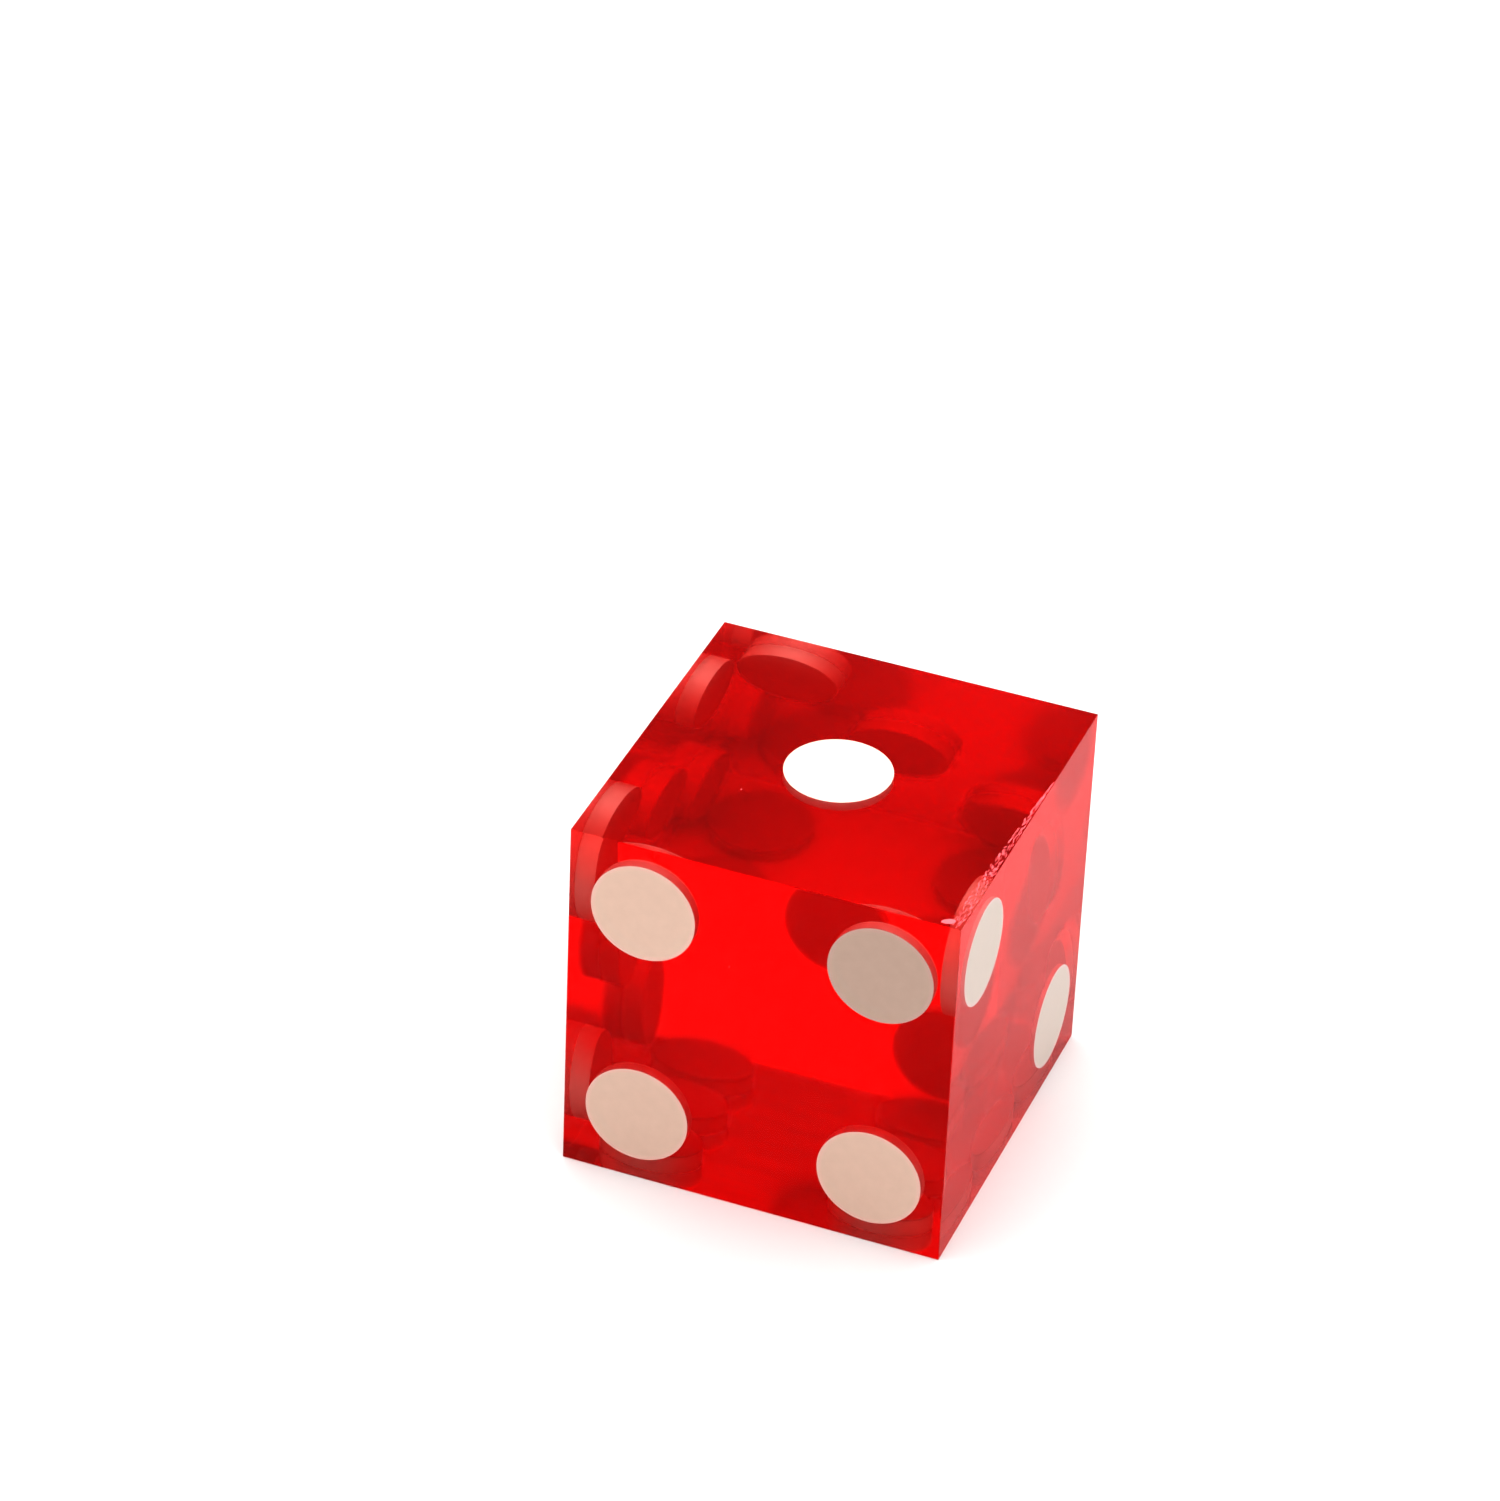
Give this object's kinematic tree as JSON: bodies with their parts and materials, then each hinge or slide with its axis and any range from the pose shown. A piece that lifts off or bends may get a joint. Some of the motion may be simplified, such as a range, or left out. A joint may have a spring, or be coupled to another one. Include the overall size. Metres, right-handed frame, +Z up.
{
  "type": "casino die",
  "caption": "Transparent red acetate cube with sharp edges and opaque white round pips set flush in drilled recesses, numbered as a precision gaming die.",
  "frame": {"origin": "centre of the bottom face, which is the six", "axes": "+Z up, out of the one; -Y out of the four; +X out of the two; +Y out of the three; -X out of the five; the die's edges lie along the axes"},
  "size_m": [0.019, 0.019, 0.0191],
  "materials": {
    "red_acetate": "clear tinted cellulose acetate, polished to a mirror gloss, with razor edges",
    "white_filler": "opaque white filler, sanded flush and satin"
  },
  "bodies": {
    "root": {"body": "red_acetate", "one_center_pip": "white_filler", "two_top_left_pip": "white_filler", "two_bottom_right_pip": "white_filler", "three_bottom_left_pip": "white_filler", "three_center_pip": "white_filler", "three_top_right_pip": "white_filler", "four_top_left_pip": "white_filler", "four_top_right_pip": "white_filler", "four_bottom_left_pip": "white_filler", "four_bottom_right_pip": "white_filler", "five_top_left_pip": "white_filler", "five_top_right_pip": "white_filler", "five_bottom_left_pip": "white_filler", "five_bottom_right_pip": "white_filler", "five_center_pip": "white_filler", "six_top_left_pip": "white_filler", "six_top_right_pip": "white_filler", "six_bottom_left_pip": "white_filler", "six_bottom_right_pip": "white_filler", "six_middle_left_pip": "white_filler", "six_middle_right_pip": "white_filler"}
  },
  "joints": []
}
